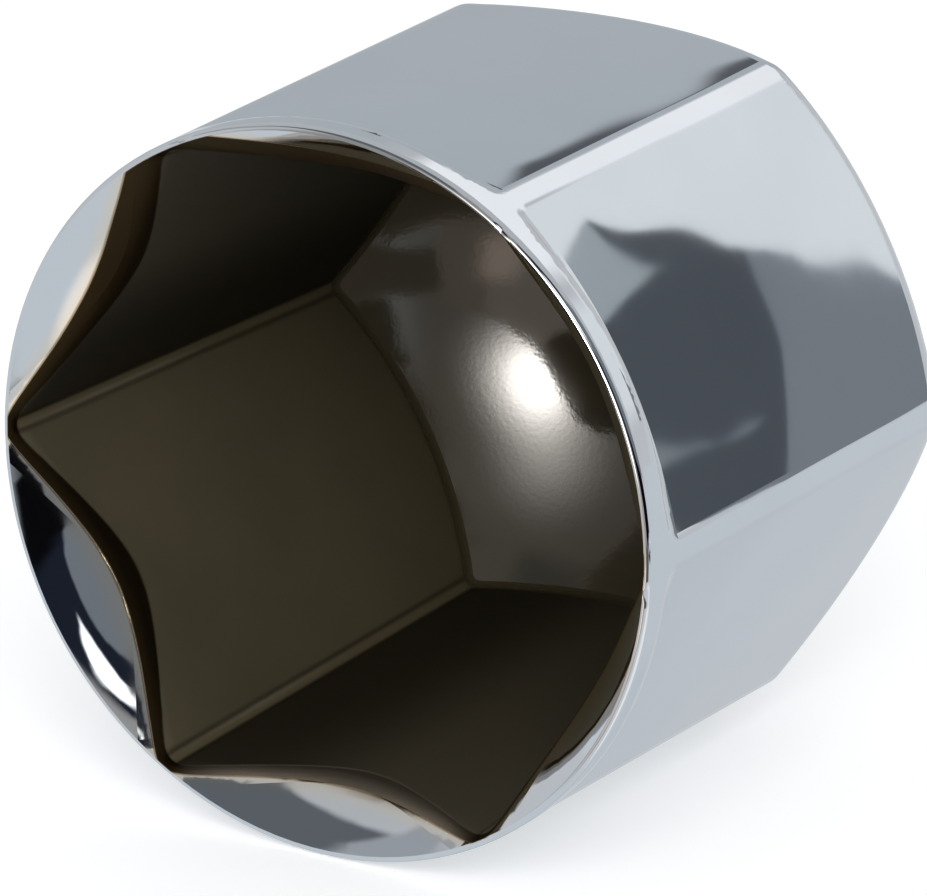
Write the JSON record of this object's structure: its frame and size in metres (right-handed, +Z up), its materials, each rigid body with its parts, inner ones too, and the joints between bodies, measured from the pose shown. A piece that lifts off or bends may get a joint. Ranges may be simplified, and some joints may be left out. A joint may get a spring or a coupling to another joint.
{
  "type": "wheel nut cover cap",
  "caption": "Domed hexagonal cover cap with a round flared mouth and a tapered hexagonal socket that pushes on over a wheel nut.",
  "frame": {"origin": "on the floor below the middle of the cap, which lies on its side", "axes": "+Y along the cap's axis from the open mouth to the closed end, +Z up, square to the flat it lies on, +X to the right when looking into the mouth"},
  "size_m": [0.0234, 0.0222, 0.0234],
  "materials": {
    "plated_plastic": "bright chrome plating on moulded plastic outside and in the lead-in, thin dark bronze-brown plating in the socket"
  },
  "bodies": {
    "root": {"cap": "plated_plastic"}
  },
  "joints": []
}
